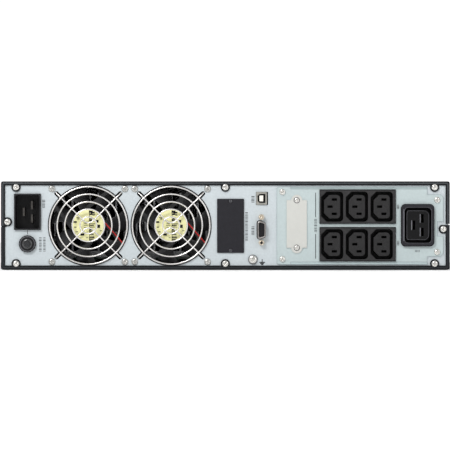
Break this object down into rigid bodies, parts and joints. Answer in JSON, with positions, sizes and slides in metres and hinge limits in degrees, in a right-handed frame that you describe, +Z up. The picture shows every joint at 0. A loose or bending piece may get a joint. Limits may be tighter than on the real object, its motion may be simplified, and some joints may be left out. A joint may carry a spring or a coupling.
{
  "type": "rackmount ups",
  "caption": "Low rack or tower battery backup with finned-guard cooling fans, mains inlet, output sockets, data ports and a pull-out battery drawer.",
  "frame": {"origin": "under the middle of the whole object, on the plane it stands on", "axes": "+Z up; -Y out of the rear panel that carries the fans and sockets; +Y out of the front bezel; +X towards the output sockets"},
  "size_m": [0.4826, 0.6102, 0.0865],
  "materials": {
    "black_paint": "satin black powder coat",
    "panel_grey": "fine-textured pale blue-grey paint",
    "output_grey": "fine-textured pale green-grey paint",
    "cream_plate": "satin off-white paint",
    "charcoal_plate": "satin charcoal paint",
    "screw_steel": "bright zinc plating",
    "dull_steel": "dull zinc plating",
    "chrome_wire": "bright nickel plating",
    "nickel": "warm nickel plating",
    "shell_steel": "tin-plated steel shell",
    "plated_steel": "galvanised sheet",
    "bare_aluminium": "as extruded",
    "brass_contact": "stamped",
    "copper_wire": "enamelled copper winding",
    "black_plastic": "matt",
    "dark_plastic": "satin",
    "fan_black": "satin",
    "outlet_plastic": "matt",
    "chip_black": "moulded",
    "core_black": "ferrite",
    "capacitor_sleeve": "shrink sleeve",
    "circuit_board": "solder mask",
    "yellow_plastic": "satin",
    "battery_case": "fine texture",
    "red_wire": "insulation",
    "blue_wire": "insulation",
    "bezel_black": "fine texture",
    "dial_grey": "gloss",
    "display_window": "tinted",
    "key_grey": "satin"
  },
  "bodies": {
    "chassis": {"bottom_tray": "black_paint", "top_cover": "black_paint", "rear_panel": "panel_grey", "output_panel": "output_grey", "cover_screws": "screw_steel", "panel_screws": "screw_steel", "blank_plate": "cream_plate", "slot_cover": "charcoal_plate", "slot_card_cage": "black_plastic", "inlet_housing": "black_plastic", "inlet_pins": "nickel", "breaker_body": "black_plastic", "breaker_nut": "dark_plastic", "fan_frame_left": "fan_black", "fan_frame_right": "fan_black", "fan_motor_coils": "copper_wire", "fan_guard_left": "chrome_wire", "fan_guard_right": "chrome_wire", "fan_screws": "dull_steel", "fan_leads": "red_wire", "outlet_block_upper": "outlet_plastic", "outlet_block_lower": "outlet_plastic", "outlet_contacts": "brass_contact", "outlet_c19": "black_plastic", "usb_port": "shell_steel", "serial_port": "shell_steel", "serial_jackscrews": "nickel", "ground_terminal": "screw_steel", "comm_board": "circuit_board", "main_board": "circuit_board", "heatsinks": "bare_aluminium", "power_transistors": "chip_black", "bus_capacitors": "capacitor_sleeve", "toroid_chokes": "copper_wire", "transformer": "core_black", "relays": "chip_black", "filter_board": "circuit_board", "mains_leads": "blue_wire", "partition_wall": "plated_steel", "bay_wall": "plated_steel", "front_frame": "plated_steel", "battery_socket": "black_plastic", "front_console": "bezel_black", "rack_ear_left": "black_paint", "rack_ear_right": "black_paint", "ear_screws": "screw_steel"},
    "left_rotor": {"fan_rotor_left": "fan_black"},
    "right_rotor": {"fan_rotor_right": "fan_black"},
    "reset_button": {"breaker_button": "dark_plastic"},
    "battery_drawer": {"battery_tray": "plated_steel", "battery_blocks": "battery_case", "battery_links": "red_wire", "battery_plug": "yellow_plastic", "tray_thumbscrews": "screw_steel"},
    "drawer_cover": {"battery_grille": "bezel_black"},
    "display": {"display_dial": "dial_grey", "display_glass": "display_window"},
    "on_key": {"key_on": "key_grey"},
    "off_key": {"key_off": "key_grey"},
    "select_key": {"key_select": "key_grey"}
  },
  "joints": [
    {"name": "left_fan_spin", "type": "hinge", "parent": "chassis", "child": "left_rotor", "pos_m": [-0.1343, -0.2821, 0.0434], "axis": [0, 1, 0], "continuous": true},
    {"name": "right_fan_spin", "type": "hinge", "parent": "chassis", "child": "right_rotor", "pos_m": [-0.0532, -0.2821, 0.0434], "axis": [0, 1, 0], "continuous": true},
    {"name": "breaker_reset", "type": "slide", "parent": "chassis", "child": "reset_button", "axis": [0, -1, 0], "range_m": [0, 0.004]},
    {"name": "drawer_slide", "type": "slide", "parent": "chassis", "child": "battery_drawer", "axis": [0, 1, 0], "range_m": [0, 0.28]},
    {"name": "cover_pull", "type": "slide", "parent": "battery_drawer", "child": "drawer_cover", "axis": [0, 1, 0], "range_m": [0, 0.045]},
    {"name": "display_turn", "type": "hinge", "parent": "chassis", "child": "display", "pos_m": [-0.155, 0.3009, 0.04325], "axis": [0, 1, 0], "range_deg": [-90, 0]},
    {"name": "on_key_press", "type": "slide", "parent": "display", "child": "on_key", "axis": [0, -1, 0], "range_m": [0, 0.0012], "stiffness_N_per_m": 300},
    {"name": "off_key_press", "type": "slide", "parent": "display", "child": "off_key", "axis": [0, -1, 0], "range_m": [0, 0.0012], "stiffness_N_per_m": 300},
    {"name": "select_key_press", "type": "slide", "parent": "display", "child": "select_key", "axis": [0, -1, 0], "range_m": [0, 0.0012], "stiffness_N_per_m": 300}
  ]
}
